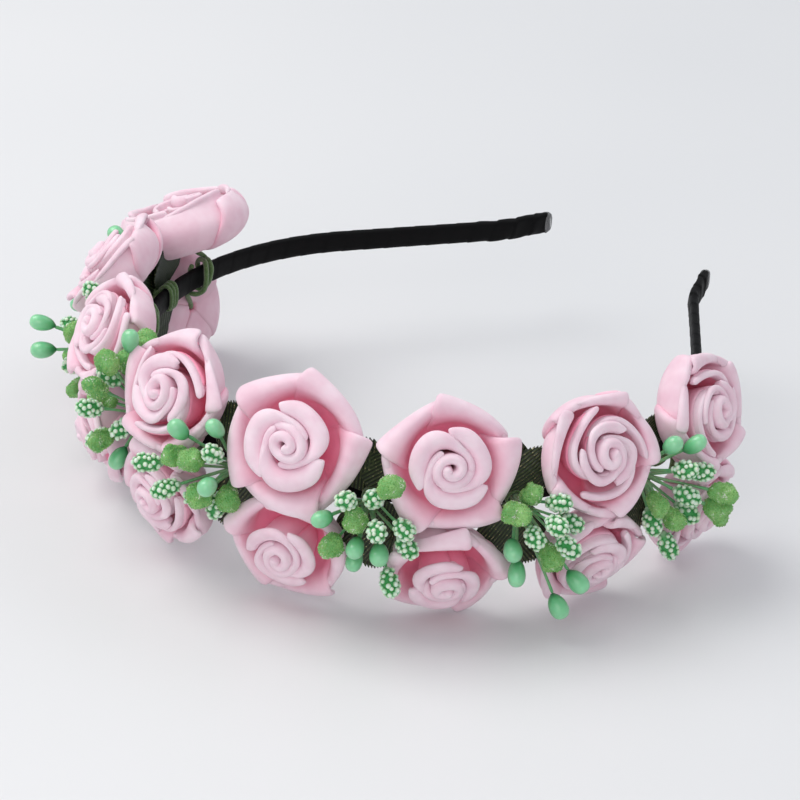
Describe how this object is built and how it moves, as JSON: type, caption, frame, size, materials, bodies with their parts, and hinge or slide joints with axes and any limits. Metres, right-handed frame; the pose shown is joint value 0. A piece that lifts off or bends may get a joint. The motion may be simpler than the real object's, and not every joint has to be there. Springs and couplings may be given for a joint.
{
  "type": "flower crown",
  "caption": "Ribbon-wrapped spring headband with a garland of pink foam roses in pairs and sprigs of green berries, buds, dotted cones and ribbed fabric leaves.",
  "frame": {"origin": "centre of the circle that grips the head, half way up the band's width", "axes": "+Z along the head circle's axis, away from the surface it lies on; the garland's front is at -Y, the arms' tips at +Y, the wearer's left arm at -X when it lies as drawn"},
  "size_m": [0.1716, 0.1709, 0.0503],
  "materials": {
    "spring_steel": "satin",
    "satin_ribbon": "satin",
    "clear_glue": "gloss",
    "rose_foam": "matte",
    "wrapped_wire": "matte",
    "leaf_ribbon": "satin",
    "pip_stem": "satin",
    "pearl_bud": "satin",
    "sugar_berry": "satin",
    "dotted_cone": "satin"
  },
  "bodies": {
    "garland": {"strip_centre": "spring_steel", "ribbon_centre": "satin_ribbon", "rose_upper_1": "rose_foam", "rose_upper_2": "rose_foam", "rose_upper_3": "rose_foam", "rose_upper_4": "rose_foam", "rose_upper_5": "rose_foam", "rose_upper_6": "rose_foam", "rose_upper_7": "rose_foam", "rose_upper_8": "rose_foam", "rose_lower_1": "rose_foam", "rose_lower_2": "rose_foam", "rose_lower_3": "rose_foam", "rose_lower_4": "rose_foam", "rose_lower_5": "rose_foam", "rose_lower_6": "rose_foam", "rose_lower_7": "rose_foam", "rose_lower_8": "rose_foam", "rose_wires": "wrapped_wire", "leaves_1": "leaf_ribbon", "leaves_2": "leaf_ribbon", "leaves_3": "leaf_ribbon", "leaves_4": "leaf_ribbon", "leaves_5": "leaf_ribbon", "leaves_6": "leaf_ribbon", "leaves_7": "leaf_ribbon", "stems_1": "pip_stem", "stems_2": "pip_stem", "stems_3": "pip_stem", "stems_4": "pip_stem", "stems_5": "pip_stem", "stems_6": "pip_stem", "stems_7": "pip_stem", "pearl_buds_1": "pearl_bud", "pearl_buds_2": "pearl_bud", "pearl_buds_3": "pearl_bud", "pearl_buds_4": "pearl_bud", "pearl_buds_5": "pearl_bud", "pearl_buds_6": "pearl_bud", "pearl_buds_7": "pearl_bud", "sugar_berries_1": "sugar_berry", "sugar_berries_2": "sugar_berry", "sugar_berries_3": "sugar_berry", "sugar_berries_4": "sugar_berry", "sugar_berries_5": "sugar_berry", "sugar_berries_6": "sugar_berry", "sugar_berries_7": "sugar_berry", "dotted_cones_1": "dotted_cone", "dotted_cones_2": "dotted_cone", "dotted_cones_3": "dotted_cone", "dotted_cones_4": "dotted_cone", "dotted_cones_5": "dotted_cone", "dotted_cones_6": "dotted_cone", "dotted_cones_7": "dotted_cone"},
    "left_arm": {"strip_left_arm": "spring_steel", "ribbon_left_arm": "satin_ribbon", "tip_seal_left": "clear_glue"},
    "right_arm": {"strip_right_arm": "spring_steel", "ribbon_right_arm": "satin_ribbon", "tip_seal_right": "clear_glue"}
  },
  "joints": [
    {"name": "left_arm_flex", "type": "hinge", "parent": "garland", "child": "left_arm", "pos_m": [-0.05966, 0.02054, 0], "axis": [0, 0, 1], "range_deg": [-6, 18], "stiffness_Nm_per_rad": 0.3},
    {"name": "right_arm_flex", "type": "hinge", "parent": "garland", "child": "right_arm", "pos_m": [0.05966, 0.02054, 0], "axis": [0, 0, -1], "range_deg": [-6, 18], "stiffness_Nm_per_rad": 0.3}
  ]
}
